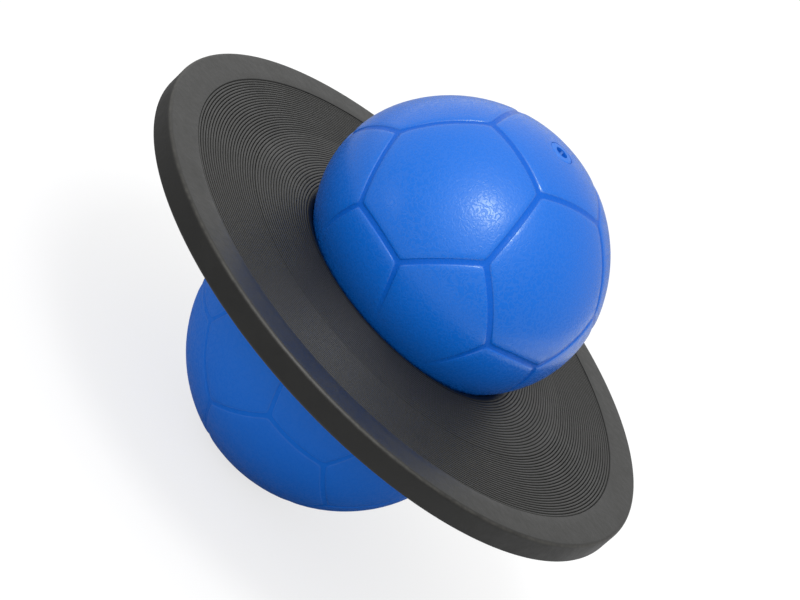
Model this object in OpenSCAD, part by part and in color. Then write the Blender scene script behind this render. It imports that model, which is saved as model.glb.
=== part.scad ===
// Bouncing balance disc: a soft air-filled ball with two lobes, held at its waist by a stiff
// standing disc. The user stands on the disc, grips the upper lobe with the feet and hops.
// Z runs along the common axis. The lower lobe stands on z = 0 with its flattened contact patch.

/* [Disc] */
// Outside diameter of the standing disc
disc_d = 390; // [340:1:430]
// Height of the rim
rim_h = 16.5; // [14:0.5:20]
// Radius of the rounded upper and lower rim edges
rim_round = 1.2; // [0.8:0.1:4]
// Width of the smooth band that runs along the rim
band_w = 22.5; // [15:0.5:35]
// Step from the band down to the grip field
band_step = 0.4; // [0.2:0.1:2]
// Outside diameter of the crowned inner field
crown_d = 255; // [230:1:290]
// Fall of the crowned field from the lip to its outside edge
crown_fall = 1.2; // [0.4:0.1:2]
// Step from the crowned field down to the outer field
crown_step = 0.3; // [0.1:0.1:1]
// Diameter of the hole that the waist of the ball fills
bore_d = 155; // [140:1:165]
// Thickness of the round inner lip, which is the full thickness of the disc there
lip_d = 17.5; // [15:0.5:21]
// Wall of the hollow disc
disc_wall = 3; // [2:0.1:4]
// Distance from one grip rib to the next
rib_pitch = 2; // [1.6:0.1:3]
// Height of the grip ribs
rib_h = 0.6; // [0.3:0.1:1]
// Width of the flat crest of a grip rib
rib_crest = 0.5; // [0.3:0.1:0.8]
// Plain strip left beside each field of ribs
rib_margin = 0.6; // [0.3:0.1:2]

/* [Ball] */
// Radius of the upper lobe, which stands above the disc
upper_lobe_r = 98.3; // [92:0.1:106]
// Height of the upper lobe's centre above the waist
upper_lobe_rise = 42.8; // [38:0.1:50]
// Radius of the lower lobe, which the toy bounces on
lower_lobe_r = 99.3; // [94:0.1:108]
// Depth of the lower lobe's centre below the waist
lower_lobe_drop = 52.2; // [46:0.1:60]
// Angle above a lobe's equator at which its shoulder starts to draw in
shoulder_start = 26; // [10:1:34]
// Diameter of the flat patch where the ball stands on the floor
contact_d = 32; // [24:1:44]
// Wall of the ball
ball_wall = 3; // [2.4:0.1:4]
// Depth to which the soft lobes bed on the lip of the disc
lobe_bedding = 0.7; // [0.4:0.1:1.5]
// Gap left between the ball and the disc
seat_gap = 0.3; // [0.2:0.05:0.6]

/* [Seams] */
// Radius of a free ball with panels as large as those of the upper lobe
upper_panel_r = 140; // [132:0.5:142]
// Radius of a free ball with panels as large as those of the lower lobe
lower_panel_r = 129; // [122:0.5:131]
// Width of the seam grooves between the panels
seam_w = 3.2; // [2:0.1:5]
// Depth of the seam grooves
seam_depth = 1; // [0.4:0.1:1.4]
// Turn of the panel pattern about the axis
seam_turn = -6.2; // [-36:0.1:36]

/* [Valve] */
// Diameter of the valve flange, let into the top of the ball
flange_d = 17; // [14:0.5:22]
// Thickness of the flange at its edge
flange_t = 1.6; // [1.2:0.1:2]
// Bevel of the flange's upper edge
flange_bevel = 0.5; // [0.2:0.1:0.8]
// Diameter of the valve stem below the flange
stem_d = 12; // [11:0.5:13]
// Length of the valve stem below the flange
stem_l = 13; // [11:0.5:18]
// Diameter of the well that the plug head lies in
well_d = 8.8; // [7.5:0.1:9]
// Depth of the well
well_depth = 3.2; // [2.6:0.1:3.6]
// Diameter of the air bore
air_bore_d = 4; // [3:0.1:5]
// Length of the plug pin inside the air bore
pin_l = 9; // [6:0.5:9.5]
// Thickness of the plug head
head_t = 1; // [0.8:0.1:1.4]
// Width of the pull bar across the plug head
pull_bar_w = 1.6; // [1.2:0.1:2.4]
// Radial clearance of the plug in its well and bore, and of the flange in its recess
plug_gap = 0.1; // [0.05:0.01:0.2]

/* [Hidden] */
$fn = 96;

// Heights along the axis, built up from the floor
lower_z = sqrt(pow(lower_lobe_r, 2) - pow(contact_d / 2, 2));
waist_z = lower_z + lower_lobe_drop;
upper_z = waist_z + upper_lobe_rise;
pole_z = upper_z + upper_lobe_r;

// Radii of the disc
disc_r = disc_d / 2;
band_in_r = disc_r - band_w;
crown_r = crown_d / 2;
lip_r = lip_d / 2;
lip_x = bore_d / 2 + lip_r;

// Direction from a lobe's centre to the start of its shoulder, as [radius, height]
shoulder_way = [cos(shoulder_start), sin(shoulder_start)];

// Heights of the disc's faces above its waist plane
under_y = -lip_r;
band_y = under_y + rim_h;
field_y = band_y - band_step;
crown_y = lip_r - crown_fall;

// Five-fold panel pattern of twelve pentagons and twenty hexagons: the angle between the
// centres of neighbouring pentagons gives the four rings of corners of the upper half
five_turn = 72;
centre_angle = acos(1 / sqrt(5));
cap_ring = atan2(sin(centre_angle), 2 + cos(centre_angle));
spoke_ring = atan2(2 * sin(centre_angle), 1 + 2 * cos(centre_angle));
shoulder_ring = acos(3 * cos(centre_angle) / corner_length(five_turn, centre_angle));
waist_ring = acos(cos(centre_angle) / corner_length(five_turn / 2, 180 - centre_angle));
shoulder_side = atan2(sin(five_turn), 2 + cos(five_turn));
waist_side = atan2(sin(five_turn / 2), 2 + cos(five_turn / 2));

// The seam cutters reach this far in and out of the straight line between two corners
seam_reach_in = 6;
seam_reach_out = 10;

// The seam cutters run on past each corner by this share of their width, so that corners are full
seam_overrun = 0.3;

// Length of the sum of twice one pentagon centre and once another, for unit centres
function corner_length(turn, other) =
    norm([2 * sin(centre_angle) + sin(other) * cos(turn), sin(other) * sin(turn),
          2 * cos(centre_angle) + cos(other)]);

// Points of an arc about a centre, from one angle to another
function arc(centre, r, from, to, steps) =
    [for (i = [0:steps]) centre + r * [cos(from + (to - from) * i / steps),
                                       sin(from + (to - from) * i / steps)]];

// Radius of the shoulder that leaves the lobe at its start angle and beds on the lip
function shoulder_r(lobe_r, rise) =
    let (reach = lip_r + seat_gap - lobe_bedding, lip = [lip_x, -rise], along = lip * shoulder_way)
    (pow(lobe_r, 2) - 2 * lobe_r * along + lip * lip - pow(reach, 2)) / (2 * (lobe_r - along + reach));

// Centre of the shoulder about the lobe's centre, as [radius, height]
function shoulder_centre(lobe_r, rise) = (lobe_r - shoulder_r(lobe_r, rise)) * shoulder_way;

// Point of a lobe's outline, [radius, height above the lobe's centre], at an angle from the
// pole of the free ball. Length along the surface is kept.
function lobe_point(angle, lobe_r, rise, panel_r) =
    let (travel = panel_r * angle / lobe_r, cap = 90 - shoulder_start, bend_r = shoulder_r(lobe_r, rise))
    travel <= cap
        ? lobe_r * [sin(travel), cos(travel)]
        : let (bend = cap + (travel - cap) * lobe_r / bend_r)
          shoulder_centre(lobe_r, rise) + bend_r * [sin(bend), cos(bend)];

// Corner of the panel pattern on a lobe, as a point about the lobe's centre
function corner(place, lobe_r, rise, panel_r) =
    let (p = lobe_point(place[0], lobe_r, rise, panel_r), turn = place[1])
    [p[0] * cos(turn), p[0] * sin(turn), p[1]];

// Pairs of corners, [angle, turn], that the seams of one sector join on both lobes
function sector_seams(turn) =
    let (cap = [cap_ring, turn], next_cap = [cap_ring, turn + five_turn],
         spoke = [spoke_ring, turn], left = [shoulder_ring, turn - shoulder_side],
         right = [shoulder_ring, turn + shoulder_side],
         next_left = [shoulder_ring, turn + five_turn - shoulder_side])
    [[cap, next_cap], [cap, spoke], [spoke, left], [spoke, right], [right, next_left],
     [left, [waist_ring, turn - waist_side]], [right, [waist_ring, turn + waist_side]]];

// Pairs of corners of one sector that only the lower lobe shows: the foot of the pentagon and
// the seams that run on through the waist
function waist_seams(turn) =
    let (left = [waist_ring, turn - waist_side], right = [waist_ring, turn + waist_side])
    [[left, right], [left, [90, turn - five_turn / 4]], [right, [90, turn + five_turn / 4]]];

// Half section of a lobe about its centre, drawn in by an inset: a round cap above the start of
// the shoulder, and the flatter circle of the shoulder inside it
module lobe_section(lobe_r, rise, inset) {
    intersection() {
        union() {
            intersection() {
                circle(r = lobe_r - inset);
                polygon([[0, 0], 2 * lobe_r * shoulder_way, [0, 2 * lobe_r]]);
            }
            translate(shoulder_centre(lobe_r, rise)) circle(r = shoulder_r(lobe_r, rise) - inset);
        }
        translate([0, -lobe_r]) square([lobe_r, 2 * lobe_r]);
    }
}

// Half section of the whole ball, drawn in by an inset
module ball_section(inset) {
    upper_bend = shoulder_centre(upper_lobe_r, upper_lobe_rise);
    lower_bend = shoulder_centre(lower_lobe_r, lower_lobe_drop);
    difference() {
        union() {
            translate([0, upper_z]) lobe_section(upper_lobe_r, upper_lobe_rise, inset);
            translate([0, lower_z]) mirror([0, 1]) lobe_section(lower_lobe_r, lower_lobe_drop, inset);
            polygon([[0, lower_z], [lower_bend[0], lower_z - lower_bend[1]], [lip_x, waist_z],
                     [upper_bend[0], upper_z + upper_bend[1]], [0, upper_z]]);
        }
        translate([lip_x, waist_z]) circle(r = lip_r + seat_gap + inset);
        translate([0, inset - lower_lobe_r]) square([lower_lobe_r, lower_lobe_r]);
    }
}

// Flat cutter for one straight seam between two corners of a lobe
module seam_cutter(from, to) {
    along = (to - from) / norm(to - from);
    across = cross(to + from, along) / norm(cross(to + from, along));
    out = cross(along, across);
    middle = (to + from) / 2;
    length = norm(to - from) + 2 * seam_overrun * seam_w;
    multmatrix([[along[0], across[0], out[0], middle[0]],
                [along[1], across[1], out[1], middle[1]],
                [along[2], across[2], out[2], middle[2]]])
        translate([-length / 2, -seam_w / 2, -seam_reach_in])
            cube([length, seam_w, seam_reach_in + seam_reach_out]);
}

// Cutters for a list of seams on one lobe about its centre, pole upwards
module lobe_seams(seams, lobe_r, rise, panel_r) {
    for (seam = seams)
        seam_cutter(corner(seam[0], lobe_r, rise, panel_r), corner(seam[1], lobe_r, rise, panel_r));
}

// Hollow ball with its waist, seam grooves and the recess and hole of the valve
module ball_shell() {
    upper_turns = [for (i = [0:4]) seam_turn + i * five_turn];
    lower_turns = [for (turn = upper_turns) turn + five_turn / 2];
    upper_seams = [for (turn = upper_turns) each sector_seams(turn)];
    lower_seams = [for (turn = lower_turns) each concat(sector_seams(turn), waist_seams(turn))];
    color([0.09, 0.35, 0.83])
    difference() {
        rotate_extrude() ball_section(0);
        rotate_extrude() ball_section(ball_wall);
        difference() {
            union() {
                translate([0, 0, upper_z])
                    lobe_seams(upper_seams, upper_lobe_r, upper_lobe_rise, upper_panel_r);
                translate([0, 0, lower_z]) mirror([0, 0, 1])
                    lobe_seams(lower_seams, lower_lobe_r, lower_lobe_drop, lower_panel_r);
            }
            rotate_extrude() ball_section(seam_depth);
        }
        translate([0, 0, pole_z - ball_wall * 2]) cylinder(d = stem_d, h = ball_wall * 3);
        translate([0, 0, flange_seat_z()]) cylinder(r = flange_d / 2 + plug_gap, h = ball_wall);
    }
}

// Height of the crowned field above the waist plane at a radius: it falls with the square of the
// distance from the lip
function crown_height(r) = lip_r - crown_fall * pow((r - lip_x) / (crown_r - lip_x), 2);

// Height of the outer field, which runs straight from the crown to the foot of the band
function field_height(r) =
    let (start = crown_y - crown_step, share = (r - crown_r) / (band_in_r - band_step - crown_r))
    start + (field_y - start) * share;

// Outline of the whole ribs that fit between two radii, as [radius, depth below the crests]:
// each rib rises from a sharp valley to a flat crest
function rib_points(from, to) =
    let (count = floor((to - from - 2 * rib_margin) / rib_pitch),
         start = (from + to - count * rib_pitch) / 2,
         flank = (rib_pitch - rib_crest) / 2)
    [for (i = [0:count - 1], p = [[0, rib_h], [flank, 0], [flank + rib_crest, 0]])
        [start + i * rib_pitch + p[0], p[1]]];

// Hollow standing disc: rim, smooth band, ribbed grip field, ribbed crown and round inner lip
module disc() {
    color([0.13, 0.13, 0.135])
    translate([0, 0, waist_z])
    rotate_extrude()
    difference() {
        polygon(concat(
            arc([lip_x, 0], lip_r, 270, 90, 32),
            [for (p = rib_points(lip_x, crown_r)) [p[0], crown_height(p[0]) - p[1]]],
            [[crown_r, crown_y], [crown_r, crown_y - crown_step]],
            [for (p = rib_points(crown_r, band_in_r - band_step)) [p[0], field_height(p[0]) - p[1]]],
            [[band_in_r - band_step, field_y], [band_in_r, band_y]],
            arc([disc_r - rim_round, band_y - rim_round], rim_round, 90, 0, 6),
            arc([disc_r - rim_round, under_y + rim_round], rim_round, 0, -90, 6)));
        polygon(concat(
            arc([lip_x, 0], lip_r - disc_wall, 270, 90, 16),
            [[crown_r, crown_y - crown_step - disc_wall], [band_in_r, field_y - disc_wall],
             [disc_r - disc_wall, field_y - disc_wall], [disc_r - disc_wall, under_y + disc_wall]]));
    }
}

// Height of the flat seat that the flange lies on
function flange_seat_z() =
    upper_z + sqrt(pow(upper_lobe_r, 2) - pow(flange_d / 2, 2)) - flange_t;

// Valve insert: bevelled flange with its crown flush with the ball, stem, plug well and air bore
module valve_body() {
    color([0.13, 0.42, 0.88])
    difference() {
        intersection() {
            union() {
                translate([0, 0, flange_seat_z()]) cylinder(d = flange_d, h = flange_t - flange_bevel);
                translate([0, 0, flange_seat_z() + flange_t - flange_bevel])
                    cylinder(r1 = flange_d / 2, r2 = flange_d / 2 - flange_t, h = flange_t);
                translate([0, 0, flange_seat_z() - stem_l])
                    cylinder(r = stem_d / 2 - plug_gap, h = stem_l + flange_t / 2);
            }
            translate([0, 0, upper_z]) sphere(r = upper_lobe_r);
        }
        translate([0, 0, pole_z - well_depth]) cylinder(d = well_d, h = well_depth * 2);
        translate([0, 0, flange_seat_z() - stem_l * 2]) cylinder(d = air_bore_d, h = stem_l * 3);
    }
}

// Pull-out plug: pin in the air bore, head on the floor of the well and a bar to pull it by
module valve_plug() {
    head_r = well_d / 2 - plug_gap;
    pin_r = air_bore_d / 2 - plug_gap;
    bar_h = well_depth - head_t - plug_gap * 5;
    color([0.05, 0.25, 0.62])
    translate([0, 0, pole_z - well_depth]) {
        cylinder(r = head_r, h = head_t);
        translate([0, 0, -pin_l]) cylinder(r = pin_r, h = pin_l + head_t / 2);
        intersection() {
            translate([-pull_bar_w / 2, -head_r, head_t / 2])
                cube([pull_bar_w, head_r * 2, bar_h + head_t / 2]);
            cylinder(r = head_r - plug_gap * 3, h = well_depth);
        }
    }
}

ball_shell();
disc();
valve_body();
valve_plug();
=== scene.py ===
"""Bouncing balance disc: a soft blue ball with two lobes, held at its waist by a ribbed standing disc."""
import math

import bpy
import numpy as np
from mathutils import Matrix, Vector


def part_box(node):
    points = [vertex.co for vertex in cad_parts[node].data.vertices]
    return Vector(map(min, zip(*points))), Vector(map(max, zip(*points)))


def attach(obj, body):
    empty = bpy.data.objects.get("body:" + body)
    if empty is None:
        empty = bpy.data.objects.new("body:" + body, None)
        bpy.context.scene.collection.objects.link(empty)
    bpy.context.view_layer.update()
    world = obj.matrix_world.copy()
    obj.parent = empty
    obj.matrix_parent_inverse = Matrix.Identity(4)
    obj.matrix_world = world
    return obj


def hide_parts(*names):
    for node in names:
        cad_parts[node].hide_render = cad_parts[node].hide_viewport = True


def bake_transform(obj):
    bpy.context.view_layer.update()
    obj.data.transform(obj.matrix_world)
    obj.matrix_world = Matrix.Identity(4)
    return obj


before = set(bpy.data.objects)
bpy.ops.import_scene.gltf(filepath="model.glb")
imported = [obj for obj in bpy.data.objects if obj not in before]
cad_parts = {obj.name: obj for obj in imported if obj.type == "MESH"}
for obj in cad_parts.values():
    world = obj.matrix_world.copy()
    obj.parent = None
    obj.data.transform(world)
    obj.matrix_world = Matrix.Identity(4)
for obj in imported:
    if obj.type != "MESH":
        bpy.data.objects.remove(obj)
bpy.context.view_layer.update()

# An angle and a colour that are used throughout
QUARTER_TURN = math.pi / 2
WHITE = (1, 1, 1, 1)

# Sizes of the ball in metres, as the part has them
UPPER_LOBE_R = 0.0983
UPPER_LOBE_RISE = 0.0428
LOWER_LOBE_R = 0.0993
LOWER_LOBE_DROP = 0.0522
CONTACT_R = 0.016
SHOULDER_START = math.radians(26)
SEAT_GAP = 0.0003

# Points on the ball's outline: on a round cap, on a shoulder and round the lip
CAP_POINTS = 400
SHOULDER_POINTS = 300
WAIST_POINTS = 120

# Panels: radius of a free ball with panels as large as those of each lobe, the mean of both, the
# pattern's turn, and the angles from the upper pole between which one size goes over to the other
UPPER_PANEL_R = 0.140
LOWER_PANEL_R = 0.129
MEAN_PANEL_R = (UPPER_PANEL_R + LOWER_PANEL_R) / 2
SEAM_TURN = math.radians(-6.2)
CHANGE_START = math.radians(75)
CHANGE_STOP = math.radians(105)

# Seams: half widths of the groove at its flat floor and at its lips, its depth, the soft fall of the
# panel beside it, the rounding where seams meet, the heights from the waist between which a seam
# fades, as the skin is stretched flat there, and how deep a seam of the lower lobe is by comparison
SEAM_FLOOR_HALF_W = 0.0016
SEAM_HALF_W = 0.0025
SEAM_DEPTH = 0.0004
SEAM_FALL = 0.0006
SEAM_FALL_W = 0.0032
CORNER_ROUND = 0.0007
SEAM_GONE = 0.008
SEAM_WHOLE = 0.045
LOWER_SEAM = 0.7

# Grid of a panel sector: columns along its seam, distances of its first rows from the seam, closest
# together on the groove's wall, and the number of rows from the last of those to the panel's middle
SECTOR_COLUMNS = 21
SEAM_ROWS = 0.001 * np.array(
    [0, 0.8, 1.4, 1.6, 1.75, 1.9, 2.05, 2.2, 2.35, 2.55, 2.8, 3.3, 3.8, 4.6, 5.5])
PANEL_ROWS = 10

# Sizes of the disc in metres
DISC_R = 0.195
RIM_H = 0.0165
RIM_ROUND = 0.0026
BAND_W = 0.0225
BAND_STEP = 0.0004
BAND_EDGE_R = 0.0003
CROWN_R = 0.1275
CROWN_FALL = 0.0012
CROWN_STEP = 0.0001
BORE_R = 0.0775
LIP_R = 0.00875
RIB_PITCH = 0.002
CROWN_RIB_H = 0.0006
FIELD_RIB_H = 0.0009
RIB_STEEP = 4

# Points of the disc: places across a rib, points round the lip, on an edge of the rim and on the edge
# of the band, and bearings all round, the first and last of which are the same
RIB_PLACES = np.array([0, 0.09, 0.24, 0.5, 0.76, 0.91])
LIP_POINTS = 40
RIM_EDGE_POINTS = 11
BAND_EDGE_POINTS = 5
DISC_BEARINGS = 257

# How open plain stretches of the disc lie, where a rib's valley is 0 and its crest 1, which sets how much
# painted shade they get: the lip, the foot of the band, the band with the rim's edges, and the underside.
# Then how far the underside counts as side of the rim, which is painted in shade, how closely the rub and
# its painted highlight keep to the middle of a rim edge, and the lower edge's share of it
LIP_OPEN = 0.7
FOOT_OPEN = 0.3
BAND_OPEN = 0.95
UNDER_OPEN = 0.8
UNDER_SIDE = 0.6
RUB_AND_HIGHLIGHT_STEEP = 4
LOW_EDGE_RUB_AND_HIGHLIGHT = 0.5

# Pocket of the valve in the top of the ball
FLANGE_HOLE_R = 0.0086
STEM_HOLE_R = 0.006
STEM_HOLE_DEPTH = 0.015
STEM_L = 0.013

# Heights above the floor, and the radius at which the middle of the lip's round lies
LOWER_Z = math.sqrt(LOWER_LOBE_R**2 - CONTACT_R**2)
WAIST_Z = LOWER_Z + LOWER_LOBE_DROP
UPPER_Z = WAIST_Z + UPPER_LOBE_RISE
LIP_X = BORE_R + LIP_R

# Points nearer together than this are one, and an edge between faces that meet at more than this
# angle is drawn sharp
SAME_POINT = 1e-6
SHARP_EDGE = math.radians(55)

# Leathery skin: middle level of a noise, the scale and reach of the wrinkles' bends by comparison with
# the wrinkles, a wrinkle's width as a span of noise, scale of the cells between folds, a fold's width,
# scale and noise levels of the patches that have folds, and the heights of tops, swelling and folds
NOISE_MIDDLE = 0.5
BEND_SCALE = 0.4
BEND_REACH = 1.5
WRINKLE_W = 0.1
FOLD_SCALE = 24.0
FOLD_W = 0.014
PATCH_SCALE = 17.0
PATCH_START = 0.52
PATCH_WHOLE = 0.62
TOP_H = 0.6
SWELL_H = 0.7
FOLD_DEPTH = 0.5

# Noise levels that slow clouds stretch to 0 and 1
CLOUD_LOW = 0.3
CLOUD_HIGH = 0.7

# Colour of vinyl: scale of its clouds, and the deep colour's share in them, and in a groove, where it is
# painted shade
VINYL_CLOUD_SCALE = 11.0
CLOUD_DEEP = 0.2
GROOVE_SHADE = 0.9

# Skin of vinyl: how much rougher a crease is, how much smoother a groove's lip is, and the strength of
# the relief on a panel and what a lip loses of it
CREASE_ROUGH = 0.2
LIP_SMOOTH = 0.07
PANEL_RELIEF = 0.8
LIP_RELIEF_LOSS = 0.6

# Shine of the ball and the disc where only one plain level is read, without the changes over the surface
PLAIN_SHINE = 0.3

# Shine of vinyl: of a panel, of a groove's floor, what a groove's lip gains, and its tint
PANEL_SHINE = 0.49
GROOVE_SHINE = 0.1675
LIP_SHINE = 0.48
VINYL_TINT = (0.92, 1, 0.6, 1)

# Wear of the lower lobe by hopping: how much rougher it is; how many times that share the painted shade in
# the grooves loses, as the lower lobe is lit from below; and how many times that share the shine loses
HOPPING_WEAR = 0.3
LOW_SHADE_FADE = 2.5
WEAR_DULLS = 1.2

# Colour of the plastic: in valleys, where it is darkest as painted shade, on crests, and where it is rubbed
# with a painted highlight; what crests add and the painted shade of the rim's side takes away; and how far
# the rim's edges are rubbed and lit all over and in patches
VALLEY_BLACK = (0.004, 0.004, 0.0034, 1)
CREST_BLACK = (0.018, 0.0179, 0.0155, 1)
RUBBED_AND_LIT_GREY = (0.11, 0.105, 0.09, 1)
CREST_PALE = 0.55
SIDE_PAINTED_SHADE = 0.6
RUB_AND_HIGHLIGHT_ALL_OVER = 0.05
RUB_AND_HIGHLIGHT_IN_PATCHES = 0.3

# Skin of the plastic: scale and share of its clouds and of its mottle, its roughness from the smoothest
# patches to the roughest, what the side of the rim adds to that, how closely the shine keeps to the
# crests, and its level in valleys and on crests
PLASTIC_CLOUD_SCALE = 38.0
PLASTIC_CLOUD = 0.25
MOTTLE_SCALE = 240.0
MOTTLE = 0.2
SMOOTH_PLASTIC = 0.32
ROUGH_PLASTIC = 0.5
SIDE_ROUGH = 0.2
CREST_STEEP = 3.0
VALLEY_SHINE = 0.06
CREST_SHINE = 0.62

# Grain of the plastic: its scale, depth in metres and strength, and the mottle's height beside it
GRAIN_SCALE = 1100.0
GRAIN_DEPTH = 0.00008
GRAIN_STRENGTH = 0.7
MOTTLE_H = 0.9

# View of the photograph: the disc's middle is seen from above its plane, and the image is
# turned so that the axis leans to the right. Image size and focal length are in pixels.
IMAGE_W = 800
FOCAL_PX = 3167
VIEW_DISTANCE = 1.956
VIEW_ELEVATION = math.radians(22.48)
VIEW_ROLL = math.radians(47.34)
VIEW_TARGET = Vector((-0.0008, 0, WAIST_Z - 0.00125))
VIEW_REACH = 50
SENSOR_W = 36.0

# Floor: half its width, its roughness, its level as it lights the object, in the painted shadow of the
# object and as it is seen, and the lift to white there, with the place and radii of the painted shadow
FLOOR_HALF_W = 6
FLOOR_ROUGHNESS = 0.9
FLOOR_COLOUR = 0.66
FLOOR_SHADE = 0.2
FLOOR_SEEN = 0.3
FLOOR_LIFT = 0.72
SHADE_PLACE = (0.17, -0.03, 0)
SHADE_CORE = 0.08
SHADE_EDGE = 0.3

# Floor in reflections: its lift on the left and on the right, the way across it and the distances that
# way between which one goes over to the other, and those in front between which the lift fades; beside
# the object the painted shadow takes the lift away
LEFT_FLOOR_SHEEN = 0.12
RIGHT_FLOOR_SHEEN = 0.95
FLOOR_ACROSS = (1, -0.4, 0)
FLOOR_LEFT = -0.2
FLOOR_RIGHT = 0.6
FLOOR_FAR = -0.6
FLOOR_NEAR = -0.2

# Studio in reflections: its level in front and on both sides of the back, how far either side of the
# middle these go over to each other, and the way, level and fall of the glow round the lamp and of
# the small glow of a screen on the left
FRONT_SHEEN = 0.08
LEFT_SHEEN = 0.94
RIGHT_SHEEN = 0.58
SIDE_TURN = 0.35
FRONT_TURN = 0.5
GLOW_SIDE = (-0.08, -0.49, 0.87)
GLOW = 2.8
GLOW_FALL = 7.0
SCREEN_SIDE = (-0.862, -0.506, 0.01)
SCREEN = 1.8
SCREEN_FALL = 60.0

# Soft light of the studio: its bright side, and its level there and on the side across from it
BRIGHT_SIDE = (-0.4, -0.92, 0)
BRIGHT_LIGHT = 1.3
DIM_LIGHT = 0.7


def arc(centre, radius, start, stop, count):
    """Points (r, z) of a circle about a centre, from one angle to another, ends included."""
    angle = np.linspace(start, stop, count)
    return np.stack([centre[0] + radius * np.cos(angle), centre[1] + radius * np.sin(angle)], 1)


def shoulder(lobe_r, rise):
    """Arc that leaves a lobe's circle at the start angle and touches the circle round the lip: its
    radius, its centre (r, height towards the pole) and the angle below the level at which it touches.
    The distance from its centre to the lip's equals its radius plus the lip's."""
    reach = LIP_R + SEAT_GAP
    way = np.array([math.cos(SHOULDER_START), math.sin(SHOULDER_START)])
    lip = np.array([LIP_X, -rise])
    along = way @ lip
    radius = (lobe_r**2 - 2 * lobe_r * along + lip @ lip - reach**2) / (2 * (lobe_r - along + reach))
    centre = (lobe_r - radius) * way
    touch = math.atan2(centre[1] - lip[1], lip[0] - centre[0])
    return radius, centre, touch


def ball_outline():
    """Half outline of the ball from the upper to the lower pole: round cap, shoulder, arc round the
    lip, shoulder, round cap and flat patch, with the length of each point from the upper pole."""
    upper_r, upper_mid, upper_touch = shoulder(UPPER_LOBE_R, UPPER_LOBE_RISE)
    lower_r, lower_mid, lower_touch = shoulder(LOWER_LOBE_R, LOWER_LOBE_DROP)
    patch = math.asin(CONTACT_R / LOWER_LOBE_R)
    points = np.concatenate([
        arc((0, UPPER_Z), UPPER_LOBE_R, QUARTER_TURN, SHOULDER_START, CAP_POINTS),
        arc((upper_mid[0], UPPER_Z + upper_mid[1]), upper_r, SHOULDER_START, -upper_touch, SHOULDER_POINTS),
        arc((LIP_X, WAIST_Z), LIP_R + SEAT_GAP, math.pi - upper_touch, math.pi + lower_touch, WAIST_POINTS),
        arc((lower_mid[0], LOWER_Z - lower_mid[1]), lower_r, lower_touch, -SHOULDER_START, SHOULDER_POINTS),
        arc((0, LOWER_Z), LOWER_LOBE_R, -SHOULDER_START, patch - QUARTER_TURN, CAP_POINTS),
        [(0, 0)],
    ])
    step = np.linalg.norm(np.diff(points, axis=0), axis=1)
    points = points[np.concatenate([[True], step > SAME_POINT])]
    length = np.concatenate([[0], np.cumsum(np.linalg.norm(np.diff(points, axis=0), axis=1))])
    return length, points


def unit(v):
    """Vectors scaled to length one."""
    return v / np.linalg.norm(v, axis=-1, keepdims=True)


def around(turn, tilt):
    """Directions at a tilt from the pole, on given bearings."""
    return np.stack([np.cos(turn) * math.sin(tilt), np.sin(turn) * math.sin(tilt),
                     np.full(len(turn), math.cos(tilt))], 1)


def panel_sectors():
    """Sectors of the twelve pentagons and twenty hexagons on a unit ball, as panel centre, first
    and second corner of the sector's seam, and the panel's number of sides. The pentagon centres
    are the corners of an icosahedron, and each panel corner lies a third of the way between two."""
    k = np.arange(5)
    following = (k + 1) % 5
    tilt = math.acos(1 / math.sqrt(5))
    turn = k * math.radians(72)
    peak = np.concatenate([[(0, 0, 1)], around(turn, tilt),
                           around(turn + math.radians(36), math.pi - tilt), [(0, 0, -1)]])
    face = np.concatenate([
        np.stack([0 * k, 1 + k, 1 + following], 1),
        np.stack([1 + k, 6 + k, 1 + following], 1),
        np.stack([6 + k, 6 + following, 1 + following], 1),
        np.stack([0 * k + 11, 6 + following, 6 + k], 1),
    ])
    triple = np.concatenate([face, np.roll(face, -1, 1), np.roll(face, -2, 1)])
    a, b, c = peak[triple[:, 0]], peak[triple[:, 1]], peak[triple[:, 2]]
    middle = unit(a + b + c)
    near_b, near_c, far_b = unit(2 * a + b), unit(2 * a + c), unit(a + 2 * b)
    centre = np.concatenate([a, middle, middle])
    first = np.concatenate([near_b, near_c, near_b])
    second = np.concatenate([near_c, near_b, far_b])
    sides = np.repeat([5, 6, 6], len(triple))
    return centre, first, second, sides


def turned(v, axis, angle):
    """Vectors turned about unit axes by angles: the part along the axis stays, the rest swings."""
    along = np.sum(v * axis, -1, keepdims=True) * axis
    cosine, sine = np.cos(angle)[:, None], np.sin(angle)[:, None]
    return along + (v - along) * cosine + np.cross(axis, v) * sine


def between(a, b, share):
    """Points on the great circle from a to b, at a share of the angle between them."""
    angle = np.arccos(np.clip(np.sum(a * b, -1, keepdims=True), -1, 1))
    return (np.sin((1 - share) * angle) * a + np.sin(share * angle) * b) / np.sin(angle)


def smooth_step(x, low, high):
    """0 below low, 1 above high, with a smooth rise between."""
    t = np.clip((x - low) / (high - low), 0, 1)
    return t * t * (3 - 2 * t)


def ball_surface(direction, depth, outline):
    """Points of the pinched ball for directions on the free ball. The angle from the pole becomes
    length along the outline, at one rate for each half, and depth is cut along the normal."""
    length, points = outline
    tilt = np.arccos(np.clip(direction[..., 2], -1, 1))
    turn = np.arctan2(direction[..., 1], direction[..., 0]) + SEAM_TURN
    from_top = UPPER_PANEL_R * tilt
    from_bottom = length[-1] - LOWER_PANEL_R * (math.pi - tilt)
    share = smooth_step(tilt, CHANGE_START, CHANGE_STOP)
    travel = from_top * (1 - share) + from_bottom * share
    slope = np.gradient(points, length, axis=0)
    r, z = (np.interp(travel, length, points[:, i]) for i in (0, 1))
    slope_r, slope_z = (np.interp(travel, length, slope[:, i]) for i in (0, 1))
    size = np.hypot(slope_r, slope_z)
    r = r + depth * slope_z / size
    z = z - depth * slope_r / size
    return np.stack([r * np.cos(turn), r * np.sin(turn), z], -1)


def grid_faces(rows, columns, grids=1, first=0):
    """Corner numbers of the quads of one or more grids whose points are stored row by row."""
    g, r, c = np.meshgrid(np.arange(grids), np.arange(rows - 1), np.arange(columns - 1), indexing="ij")
    corner = (first + (g * rows + r) * columns + c).ravel()
    return np.stack([corner, corner + 1, corner + columns + 1, corner + columns], 1)


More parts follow.
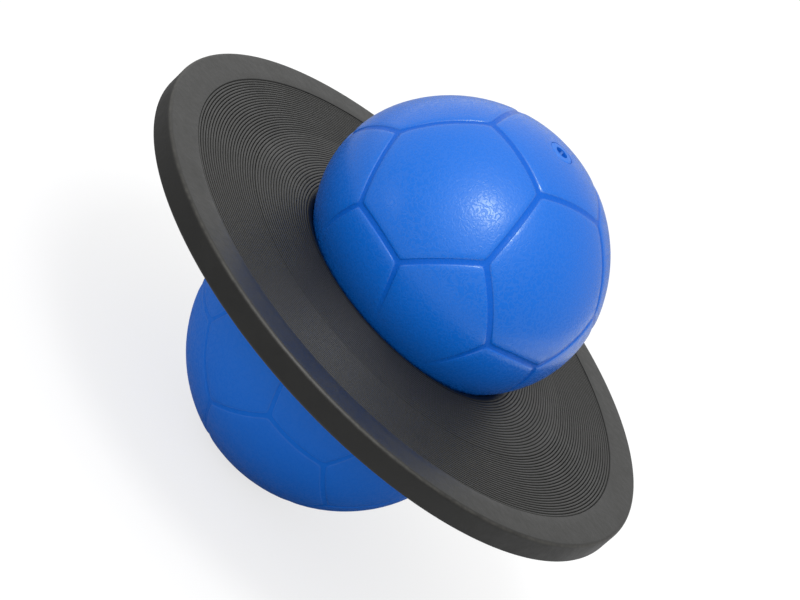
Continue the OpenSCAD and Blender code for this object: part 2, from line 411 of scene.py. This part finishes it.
def mesh_piece(name, points, quads, layers):
    """Smooth mesh object from points and quads, with named values for each point. Equal points are
    merged. A quad that loses one corner by that becomes a triangle, and one that loses more is dropped."""
    spot = np.round(points / SAME_POINT).astype(np.int64)
    _, keep, number = np.unique(spot, axis=0, return_index=True, return_inverse=True)
    corners = number.reshape(-1)[quads]
    lost = corners == np.roll(corners, -1, 1)
    whole = corners[~lost.any(1)]
    cut = lost.sum(1) == 1
    triangles = corners[cut][~lost[cut]].reshape(-1, 3)
    mesh = bpy.data.meshes.new(name)
    mesh.from_pydata(points[keep].tolist(), [], whole.tolist() + triangles.tolist())
    for key, values in layers.items():
        held = mesh.attributes.new(key, "FLOAT", "POINT")
        held.data.foreach_set("value", values[keep].astype(np.float32))
    mesh.polygons.foreach_set("use_smooth", np.ones(len(mesh.polygons), bool))
    mesh.set_sharp_from_angle(angle=SHARP_EDGE)
    piece = bpy.data.objects.new(name, mesh)
    bpy.context.scene.collection.objects.link(piece)
    return piece


def seam_gap(direction, centre, first, second, sides):
    """Distance from points of a panel sector to the panel's nearest seam, rounded at the corners: a
    soft minimum of the distances to the sector's own seam and to the two next to it."""
    inward = unit(np.cross(first, second))
    step = 2 * math.pi / sides
    seams = np.stack([inward, turned(inward, centre, step), turned(inward, centre, -step)])
    angle = np.arcsin(np.clip(np.einsum("srci,nsi->nsrc", direction, seams), -1, 1))
    gap = np.abs(angle) * MEAN_PANEL_R
    return np.maximum(-CORNER_ROUND * np.log(np.exp(-gap / CORNER_ROUND).sum(0)), 0)


def valve_pocket(ring):
    """Pocket for the valve below a ring of points round the pole: wall, seat, stem hole and floor,
    each a circle of its own radius and height on the ring's bearings."""
    seat_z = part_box("valve_body")[0].z + STEM_L
    floor_z = seat_z - STEM_HOLE_DEPTH
    radius = np.array([FLANGE_HOLE_R, STEM_HOLE_R, STEM_HOLE_R, 0])[None, :, None]
    height = np.array([seat_z, seat_z, floor_z, floor_z])[None, :, None]
    bearing = np.arctan2(ring[..., 1], ring[..., 0])[:, None]
    walls = np.stack([radius * np.cos(bearing), radius * np.sin(bearing), height + 0 * bearing], -1)
    return np.concatenate([ring[:, None], walls], 1)


def make_ball():
    """Ball with seam grooves: every panel sector is a grid whose rows run along its seam and crowd
    towards it, and the panel at the upper pole ends at the valve's pocket. A groove has a flat floor
    and walls that curve up to the panel as parabolas, the panel beside it falls softly, and all of
    that fades towards the waist. Lip is 1 half way up a wall, and falls to 0 at its foot and its top
    with the fourth power of the distance."""
    centre, first, second, sides = panel_sectors()
    seam = between(first[:, None], second[:, None], np.linspace(0, 1, SECTOR_COLUMNS)[:, None])
    spread = np.arccos(np.clip(np.sum(seam * centre[:, None], -1), -1, 1))
    apothem = spread.min(1, keepdims=True) * MEAN_PANEL_R
    inner = SEAM_ROWS[-1] / apothem
    to_middle = inner + (1 - inner) * np.linspace(0, 1, PANEL_ROWS)
    row_share = np.concatenate([SEAM_ROWS[:-1] / apothem, to_middle], 1)
    is_cap = np.isclose(centre[:, 2], 1)
    hole = UPPER_LOBE_R * math.asin(FLANGE_HOLE_R / UPPER_LOBE_R) / UPPER_PANEL_R
    start = np.where(is_cap[:, None], hole / spread, 0)[:, None]
    share = start + (1 - start) * (1 - row_share[..., None])
    direction = between(centre[:, None, None], seam[:, None], share[..., None])
    gap = seam_gap(direction, centre, first, second, sides)
    wall = np.clip((SEAM_HALF_W - gap) / (SEAM_HALF_W - SEAM_FLOOR_HALF_W), 0, 1)
    outline = ball_outline()
    height = ball_surface(direction, 0, outline)[..., 2] - WAIST_Z
    fade = smooth_step(np.abs(height), SEAM_GONE, SEAM_WHOLE) * np.where(height > 0, 1, LOWER_SEAM)
    groove = fade * wall**2
    lip = fade * (1 - (2 * wall - 1) ** 4)
    depth = SEAM_DEPTH * groove + SEAM_FALL * fade * np.exp(-((gap / SEAM_FALL_W) ** 2))
    panel = ball_surface(direction, depth, outline)
    pocket = valve_pocket(panel[is_cap][:, -1])
    points = np.concatenate([panel.reshape(-1, 3), pocket.reshape(-1, 3)])
    layers = {name: np.concatenate([value.ravel(), np.zeros(pocket.size // 3)])
              for name, value in (("groove", groove), ("lip", lip))}
    quads = np.concatenate([
        grid_faces(panel.shape[1], SECTOR_COLUMNS, len(panel)),
        grid_faces(pocket.shape[1], SECTOR_COLUMNS, len(pocket), groove.size),
    ])
    return mesh_piece("ball", points, quads, layers)


def rib_field(start, stop, crest, rib_h):
    """Outline (r, z) of concentric grip ribs between two radii, and how high each point is on its
    rib: a broad round crest that falls to a sharp valley, by a power of the distance from the rib's
    middle, below a crest height given for each radius."""
    count = round((stop - start) / RIB_PITCH)
    pitch = (stop - start) / count
    part = (np.arange(count)[:, None] + RIB_PLACES).ravel()
    height = np.tile(1 - np.abs(2 * RIB_PLACES - 1) ** RIB_STEEP, count)
    r = start + part * pitch
    return np.stack([r, crest(r) - rib_h * (1 - height)], 1), height


def crown_crest(r):
    """Height of the crown's ribs: it falls with the square of the distance from the lip."""
    return WAIST_Z + LIP_R - CROWN_FALL * ((r - LIP_X) / (CROWN_R - LIP_X)) ** 2


def disc_outline():
    """Closed outline (r, z) of the disc with three values for each point: how high it is on a rib, or how
    open it lies elsewhere, which also sets its painted shade; 1 on the side of the rim, which is painted in
    shade; and 1 on the rim's edges, which are rubbed and carry a painted highlight. It has a round lip, a
    ribbed crown, a ribbed field that runs straight to the band, the band, the rim and the underside."""
    under = WAIST_Z - LIP_R
    band = under + RIM_H
    band_in = DISC_R - BAND_W
    edge_mid = DISC_R - RIM_ROUND
    field_start = crown_crest(CROWN_R) - CROWN_STEP
    field_fall = field_start - (band - BAND_STEP)

    def field_crest(r):
        """Height of the field's ribs: it falls evenly from the crown to the band."""
        return field_start - field_fall * (r - CROWN_R) / (band_in - CROWN_R)

    lip = arc((LIP_X, WAIST_Z), LIP_R, -QUARTER_TURN, -3 * QUARTER_TURN, LIP_POINTS)
    crown, crown_crests = rib_field(LIP_X + RIB_PITCH / 4, CROWN_R, crown_crest, CROWN_RIB_H)
    field, field_crests = rib_field(CROWN_R, band_in, field_crest, FIELD_RIB_H)
    foot = [(band_in, band - BAND_STEP - FIELD_RIB_H / 4)]
    band_lip = arc((band_in + 2 * BAND_EDGE_R, band - BAND_EDGE_R), BAND_EDGE_R,
                   math.pi, QUARTER_TURN, BAND_EDGE_POINTS)
    band_top = [(band_in + BAND_W / 3, band), (band_in + 2 * BAND_W / 3, band)]
    top_edge = arc((edge_mid, band - RIM_ROUND), RIM_ROUND, QUARTER_TURN, 0, RIM_EDGE_POINTS)
    low_edge = arc((edge_mid, under + RIM_ROUND), RIM_ROUND, 0, -QUARTER_TURN, RIM_EDGE_POINTS)
    bottom = [(band_in, under), (CROWN_R, under)]
    turn = np.linspace(0, 1, RIM_EDGE_POINTS)
    # rub along the middle of each rim edge round, which is also a painted highlight
    rub_and_highlight = np.sin(math.pi * turn) ** RUB_AND_HIGHLIGHT_STEEP
    stretches = [
        (lip, LIP_OPEN, 0, 0),
        (crown, crown_crests, 0, 0),
        (field, field_crests, 0, 0),
        (foot, FOOT_OPEN, 0, 0),
        (band_lip, BAND_OPEN, 0, 0),
        (band_top, BAND_OPEN, 0, 0),
        (top_edge, BAND_OPEN, turn, rub_and_highlight),
        (low_edge, BAND_OPEN, 1 - (1 - UNDER_SIDE) * turn, LOW_EDGE_RUB_AND_HIGHLIGHT * rub_and_highlight),
        (bottom, UNDER_OPEN, UNDER_SIDE, 0),
    ]
    points = np.concatenate([stretch[0] for stretch in stretches])
    values = [np.concatenate([np.broadcast_to(stretch[i], len(stretch[0])) for stretch in stretches])
              for i in (1, 2, 3)]
    return points, dict(zip(("crest", "side", "edge"), values))


def make_disc():
    """Disc turned about the axis: the closed outline repeated on even bearings all round."""
    outline, values = disc_outline()
    bearing = np.linspace(0, 2 * math.pi, DISC_BEARINGS)
    closed = np.append(np.arange(len(outline)), 0)
    r, z = outline[closed, :1], outline[closed, 1:]
    points = np.stack([r * np.cos(bearing), r * np.sin(bearing), z + 0 * bearing], -1)
    quads = grid_faces(len(closed), len(bearing))[:, ::-1]
    layers = {name: np.repeat(value[closed], len(bearing)) for name, value in values.items()}
    return mesh_piece("standing_disc", points.reshape(-1, 3), quads, layers)


def add(tree, kind, inputs=(), **settings):
    """Node of a kind with its settings, and inputs given as values or as sockets to link."""
    node = tree.nodes.new(kind)
    for key, value in settings.items():
        setattr(node, key, value)
    for key, value in dict(inputs).items():
        if isinstance(value, bpy.types.NodeSocket):
            tree.links.new(value, node.inputs[key])
        else:
            node.inputs[key].default_value = value
    return node


def calc(tree, operation, a, b=0.0):
    """Result of one sum on two values or sockets."""
    return add(tree, "ShaderNodeMath", {0: a, 1: b}, operation=operation).outputs["Value"]


def times(tree, a, b):
    """Product of two values or sockets."""
    return calc(tree, "MULTIPLY", a, b)


def plus(tree, value, other, share):
    """A value or socket plus a share of another."""
    return calc(tree, "ADD", value, times(tree, other, share))


def vector_calc(tree, operation, a, b):
    """Result sockets, Vector and Value, of one sum on two vectors."""
    return add(tree, "ShaderNodeVectorMath", {0: a, 1: b}, operation=operation).outputs


def ramp(tree, value, start, stop, low=0.0, high=1.0, shape="LINEAR"):
    """Goes from low to high as a value goes from start to stop, and stays level before and after."""
    return add(tree, "ShaderNodeMapRange",
               {"Value": value, "From Min": start, "From Max": stop, "To Min": low, "To Max": high},
               interpolation_type=shape).outputs["Result"]


def noise(tree, place, scale, detail):
    """Result sockets, Fac and Color, of a noise with a number of finer layers."""
    return add(tree, "ShaderNodeTexNoise", {"Vector": place, "Scale": scale, "Detail": detail}).outputs


def parts_of(tree, vector):
    """Sockets X, Y and Z of a vector."""
    return add(tree, "ShaderNodeSeparateXYZ", {"Vector": vector}).outputs


def layer(tree, name):
    """Value that the points of the piece hold under a name, and 0 where they hold none."""
    return add(tree, "ShaderNodeAttribute", attribute_name=name).outputs["Fac"]


def blend_value(tree, share, a, b):
    """Value between two others, at a share given by a socket."""
    return add(tree, "ShaderNodeMix", {"Factor": share, "A": a, "B": b}).outputs["Result"]


def blend_colour(tree, share, a, b):
    """Colour between two others, at a share given by a socket."""
    node = add(tree, "ShaderNodeMix", {"Factor": share}, data_type="RGBA")
    for key, value in (("A", a), ("B", b)):
        socket = next(s for s in node.inputs if s.name == key and s.type == "RGBA")
        if isinstance(value, bpy.types.NodeSocket):
            tree.links.new(value, socket)
        else:
            socket.default_value = value
    return next(s for s in node.outputs if s.type == "RGBA")


def new_group(name, outputs):
    """Empty shader node group that takes a place and a scale: its tree, and its sockets in and out."""
    group = bpy.data.node_groups.new(name, "ShaderNodeTree")
    for key, kind in (("Place", "NodeSocketVector"), ("Scale", "NodeSocketFloat")):
        group.interface.new_socket(name=key, in_out="INPUT", socket_type=kind)
    for key in outputs:
        group.interface.new_socket(name=key, in_out="OUTPUT", socket_type="NodeSocketFloat")
    return group, group.nodes.new("NodeGroupInput").outputs, group.nodes.new("NodeGroupOutput").inputs


def use_group(tree, group, place, scale):
    """Result sockets of a group placed in a material, with its own scale."""
    return add(tree, "ShaderNodeGroup", {"Place": place, "Scale": scale}, node_tree=group).outputs


def make_creased_skin():
    """Leathery skin. Wrinkles are the lines where a bent noise crosses its middle level, so they wind
    and branch. Folds are a few long thin lines between large cells. Height is the relief, and Crease
    is 1 in the wrinkles."""
    tree, given, result = new_group("creased_skin", ["Height", "Crease"])
    place, scale = given["Place"], given["Scale"]
    bend = noise(tree, place, times(tree, scale, BEND_SCALE), detail=2.0)["Color"]
    shift = vector_calc(tree, "SUBTRACT", bend, (NOISE_MIDDLE, NOISE_MIDDLE, NOISE_MIDDLE))["Vector"]
    reach = add(tree, "ShaderNodeVectorMath", {0: shift, "Scale": calc(tree, "DIVIDE", BEND_REACH, scale)},
                operation="SCALE").outputs["Vector"]
    bent = vector_calc(tree, "ADD", place, reach)["Vector"]
    swell = noise(tree, bent, scale, detail=1.5)["Fac"]
    away = calc(tree, "ABSOLUTE", calc(tree, "SUBTRACT", swell, NOISE_MIDDLE))
    top = ramp(tree, away, 0.0, WRINKLE_W, shape="SMOOTHSTEP")
    cell = add(tree, "ShaderNodeTexVoronoi", {"Vector": place, "Scale": FOLD_SCALE, "Randomness": 1.0},
               feature="DISTANCE_TO_EDGE").outputs["Distance"]
    line = ramp(tree, cell, 0.0, FOLD_W, low=1.0, high=0.0, shape="SMOOTHSTEP")
    patch = ramp(tree, noise(tree, place, PATCH_SCALE, detail=1.0)["Fac"], PATCH_START, PATCH_WHOLE)
    fold = times(tree, line, patch)
    skin = plus(tree, times(tree, top, TOP_H), swell, SWELL_H)
    tree.links.new(plus(tree, skin, fold, -FOLD_DEPTH), result["Height"])
    tree.links.new(calc(tree, "SUBTRACT", 1.0, top), result["Crease"])
    return tree


def make_slow_clouds():
    """Slow cloudy changes over a surface, from 0 to 1, stretched so that both ends are reached."""
    tree, given, result = new_group("slow_clouds", ["Mask"])
    cloud = noise(tree, given["Place"], given["Scale"], detail=4.0)["Fac"]
    tree.links.new(ramp(tree, cloud, CLOUD_LOW, CLOUD_HIGH), result["Mask"])
    return tree


def new_material(name, shine):
    """New material with its node tree, its shader's sockets and the socket of its place on the piece."""
    material = bpy.data.materials.new(name)
    material.use_nodes = True
    tree = material.node_tree
    surface = tree.nodes["Principled BSDF"].inputs
    surface["Specular IOR Level"].default_value = shine
    return material, tree, surface, add(tree, "ShaderNodeTexCoord").outputs["Object"]


def emboss(tree, surface, height, depth, strength):
    """Relief of a surface by bump: a height of 1 stands for a depth in metres."""
    bump = add(tree, "ShaderNodeBump", {"Height": height, "Distance": depth, "Strength": strength})
    tree.links.new(bump.outputs["Normal"], surface["Normal"])


def vinyl(name, colour, deep_colour, roughness, crease_scale, relief):
    """Soft vinyl: slow changes of colour, deeper colour painted in the grooves as shade, smooth shiny lips
    beside them, and a leathery skin whose creases are rougher. Below the waist the skin is dulled by
    hopping, and the painted shade of the grooves fades out there, as that lobe is lit from below."""
    material, tree, surface, place = new_material(name, PLAIN_SHINE)
    skin = use_group(tree, CREASED_SKIN, place, crease_scale)
    cloud = use_group(tree, SLOW_CLOUDS, place, VINYL_CLOUD_SCALE)["Mask"]
    groove, lip = (layer(tree, key) for key in ("groove", "lip"))
    dull = ramp(tree, parts_of(tree, place)["Z"], WAIST_Z, LOWER_Z, high=HOPPING_WEAR)
    # painted shade in the grooves: the deep colour there, kept on the upper lobe and fading out below the
    # waist, where the lobe is lit from below
    shade_kept = plus(tree, 1.0, dull, -LOW_SHADE_FADE)
    groove_shade = times(tree, times(tree, groove, GROOVE_SHADE), shade_kept)
    deep = calc(tree, "MAXIMUM", times(tree, cloud, CLOUD_DEEP), groove_shade)
    tree.links.new(blend_colour(tree, deep, colour, deep_colour), surface["Base Color"])
    rough = ramp(tree, skin["Crease"], 0.0, 1.0, roughness, roughness + CREASE_ROUGH)
    smooth = plus(tree, rough, lip, -LIP_SMOOTH)
    tree.links.new(calc(tree, "ADD", smooth, dull), surface["Roughness"])
    shine = plus(tree, ramp(tree, groove, 0.0, 1.0, PANEL_SHINE, GROOVE_SHINE), lip, LIP_SHINE)
    rubbed = plus(tree, 1.0, dull, -WEAR_DULLS)
    tree.links.new(times(tree, shine, rubbed), surface["Specular IOR Level"])
    surface["Specular Tint"].default_value = VINYL_TINT
    emboss(tree, surface, skin["Height"], relief, plus(tree, PANEL_RELIEF, lip, -LIP_RELIEF_LOSS))
    return material


def moulded_plastic(name):
    """Black moulded plastic: dull, with a fine grain, a mottled cast skin and cloudy changes of sheen.
    Crests are a little paler and shinier than the valleys between them, as wear and as painted shade in the
    valleys and at the foot of the band; the side of the rim is painted darker as shade and is duller; and
    the rim's edges are rubbed pale in patches, with a painted highlight along the middle of each edge
    round."""
    material, tree, surface, place = new_material(name, PLAIN_SHINE)
    cloud, mottle = (use_group(tree, SLOW_CLOUDS, place, scale)["Mask"]
                     for scale in (PLASTIC_CLOUD_SCALE, MOTTLE_SCALE))
    grain = noise(tree, place, GRAIN_SCALE, detail=3.0)["Fac"]
    crest, side, edge = (layer(tree, key) for key in ("crest", "side", "edge"))
    patchy = plus(tree, times(tree, cloud, PLASTIC_CLOUD), mottle, MOTTLE)
    # paler with the clouds and mottle and on crests, partly wear; darker in valleys, at the band's foot and
    # on the rim's side as painted shade
    pale = plus(tree, plus(tree, patchy, crest, CREST_PALE), side, -SIDE_PAINTED_SHADE)
    colour = blend_colour(tree, pale, VALLEY_BLACK, CREST_BLACK)
    # rim edges rubbed pale, which also stands in for the highlight along them: a painted highlight
    rubbed = times(tree, edge, plus(tree, RUB_AND_HIGHLIGHT_ALL_OVER, mottle, RUB_AND_HIGHLIGHT_IN_PATCHES))
    tree.links.new(blend_colour(tree, rubbed, colour, RUBBED_AND_LIT_GREY), surface["Base Color"])
    rough = ramp(tree, patchy, 0.0, PLASTIC_CLOUD + MOTTLE, SMOOTH_PLASTIC, ROUGH_PLASTIC)
    tree.links.new(plus(tree, rough, side, SIDE_ROUGH), surface["Roughness"])
    open_top = calc(tree, "POWER", crest, CREST_STEEP)
    shine = ramp(tree, open_top, 0.0, 1.0, VALLEY_SHINE, CREST_SHINE)
    tree.links.new(shine, surface["Specular IOR Level"])
    emboss(tree, surface, plus(tree, grain, mottle, MOTTLE_H), GRAIN_DEPTH, GRAIN_STRENGTH)
    return material


def seen_rays(tree):
    """1 for rays from the camera, from a reflection or through glass, which see the white surroundings."""
    path = add(tree, "ShaderNodeLightPath").outputs
    return calc(tree, "MAXIMUM", calc(tree, "MAXIMUM", path["Is Camera Ray"], path["Is Glossy Ray"]),
                path["Is Transmission Ray"])


def make_floor():
    """White floor that keeps the shadow: a plain white floor to the light on the object, and a greyer one
    that is lifted to white where it is seen, so that its shadow is a light one. Reflections show it
    less lifted on the left and far in front, and a painted shadow of the object beside it is dark in
    reflections and to the light."""
    mesh = bpy.data.meshes.new("floor")
    signs = ((-1, -1), (1, -1), (1, 1), (-1, 1))
    mesh.from_pydata([(FLOOR_HALF_W * x, FLOOR_HALF_W * y, 0) for x, y in signs], [], [(0, 1, 2, 3)])
    floor = bpy.data.objects.new("floor", mesh)
    bpy.context.scene.collection.objects.link(floor)
    material, tree, surface, place = new_material("floor_white", 0.0)
    seen = seen_rays(tree)
    # painted shadow of the object on the floor: darker near its place, to the light on the object and in
    # reflections
    apart = vector_calc(tree, "DISTANCE", place, SHADE_PLACE)["Value"]
    lit = ramp(tree, apart, SHADE_CORE, SHADE_EDGE, shape="SMOOTHSTEP")
    shaded, plain, greyer = ((level, level, level, 1) for level in (FLOOR_SHADE, FLOOR_COLOUR, FLOOR_SEEN))
    colour = blend_colour(tree, lit, shaded, plain)
    tree.links.new(blend_colour(tree, seen, colour, greyer), surface["Base Color"])
    surface["Roughness"].default_value = FLOOR_ROUGHNESS
    surface["Emission Color"].default_value = WHITE
    across = vector_calc(tree, "DOT_PRODUCT", place, FLOOR_ACROSS)["Value"]
    sheen = ramp(tree, across, FLOOR_LEFT, FLOOR_RIGHT, LEFT_FLOOR_SHEEN, RIGHT_FLOOR_SHEEN)
    near = ramp(tree, parts_of(tree, place)["Y"], FLOOR_FAR, FLOOR_NEAR, low=FRONT_SHEEN)
    mirrored = times(tree, times(tree, sheen, near), lit)
    glossy = add(tree, "ShaderNodeLightPath").outputs["Is Glossy Ray"]
    lift = blend_value(tree, glossy, FLOOR_LIFT, mirrored)
    tree.links.new(times(tree, seen, lift), surface["Emission Strength"])
    mesh.materials.append(material)


def make_world():
    """White studio: white where it is seen behind the object, greyer in reflections on the viewer's
    side but for a glow round the lamp and a screen on the left, and a plain level of soft light on the
    object, more of it from the bright side."""
    scene = bpy.context.scene
    world = scene.world or bpy.data.worlds.new("studio")
    scene.world = world
    world.use_nodes = True
    tree = world.node_tree
    sky = add(tree, "ShaderNodeTexCoord").outputs["Generated"]
    way = parts_of(tree, sky)
    behind = ramp(tree, way["X"], -SIDE_TURN, SIDE_TURN, LEFT_SHEEN, RIGHT_SHEEN)
    sheen = ramp(tree, way["Y"], -FRONT_TURN, FRONT_TURN, FRONT_SHEEN, behind)
    for glow_side, glow, fall in ((GLOW_SIDE, GLOW, GLOW_FALL), (SCREEN_SIDE, SCREEN, SCREEN_FALL)):
        facing = vector_calc(tree, "DOT_PRODUCT", sky, glow_side)["Value"]
        share = calc(tree, "POWER", calc(tree, "MAXIMUM", facing, 0.0), fall)
        sheen = plus(tree, sheen, share, glow)
    turn = vector_calc(tree, "DOT_PRODUCT", sky, BRIGHT_SIDE)["Value"]
    soft = ramp(tree, turn, -1.0, 1.0, DIM_LIGHT, BRIGHT_LIGHT)
    camera = add(tree, "ShaderNodeLightPath").outputs["Is Camera Ray"]
    sight = blend_value(tree, camera, sheen, 1.0)
    back = tree.nodes["Background"].inputs
    back["Color"].default_value = WHITE
    tree.links.new(blend_value(tree, seen_rays(tree), soft, sight), back["Strength"])


def make_light(name, place, target, size, power):
    """Soft rectangular lamp at a place, turned towards a target."""
    lamp = bpy.data.lights.new(name, "AREA")
    lamp.shape = "RECTANGLE"
    lamp.size, lamp.size_y = size
    lamp.energy = power
    light = bpy.data.objects.new(name, lamp)
    bpy.context.scene.collection.objects.link(light)
    light.location = place
    light.rotation_euler = (Vector(target) - Vector(place)).to_track_quat("-Z", "Y").to_euler()


def make_camera():
    """Camera of the photograph: on the viewer's side, above the disc's plane, turned about its own
    axis by the roll."""
    towards = Vector((0, -math.cos(VIEW_ELEVATION), math.sin(VIEW_ELEVATION)))
    level_right = Vector((1, 0, 0))
    level_up = towards.cross(level_right)
    right = level_right * math.cos(VIEW_ROLL) + level_up * math.sin(VIEW_ROLL)
    up = level_up * math.cos(VIEW_ROLL) - level_right * math.sin(VIEW_ROLL)
    lens = bpy.data.cameras.new("photo_view")
    lens.sensor_width = SENSOR_W
    lens.lens = SENSOR_W * FOCAL_PX / IMAGE_W
    lens.clip_end = VIEW_REACH
    camera = bpy.data.objects.new("photo_view", lens)
    turn = Matrix((right, up, towards)).transposed()
    camera.matrix_world = Matrix.Translation(VIEW_TARGET + towards * VIEW_DISTANCE) @ turn.to_4x4()
    bpy.context.scene.collection.objects.link(camera)
    bpy.context.scene.camera = camera


def paint(piece, material):
    """Gives a piece one material in place of any it has."""
    piece.data.materials.clear()
    piece.data.materials.append(material)


make_camera()
CREASED_SKIN = make_creased_skin()
SLOW_CLOUDS = make_slow_clouds()

ball = make_ball()
paint(ball, vinyl("ball_vinyl", colour=(0.003, 0.136, 0.627, 1), deep_colour=(0.002, 0.100, 0.535, 1),
                  roughness=0.21, crease_scale=340.0, relief=0.00009))
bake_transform(ball)
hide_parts("ball_shell")

disc = make_disc()
paint(disc, moulded_plastic("disc_black"))
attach(disc, "platform")
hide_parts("disc")

paint(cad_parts["valve_body"],
      vinyl("valve_vinyl", colour=(0.004, 0.160, 0.700, 1), deep_colour=(0.003, 0.130, 0.610, 1),
            roughness=0.36, crease_scale=600.0, relief=0.00005))
paint(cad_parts["valve_plug"],
      vinyl("plug_vinyl", colour=(0.003, 0.120, 0.560, 1), deep_colour=(0.002, 0.090, 0.440, 1),
            roughness=0.4, crease_scale=600.0, relief=0.00005))

make_floor()
make_world()
make_light("overhead_softbox", place=(-0.18, -1.04, 2.17), target=(0, 0, 0.15), size=(0.7, 0.6), power=15.2)

bpy.context.scene.view_settings.view_transform = "Standard"
bpy.context.view_layer.update()
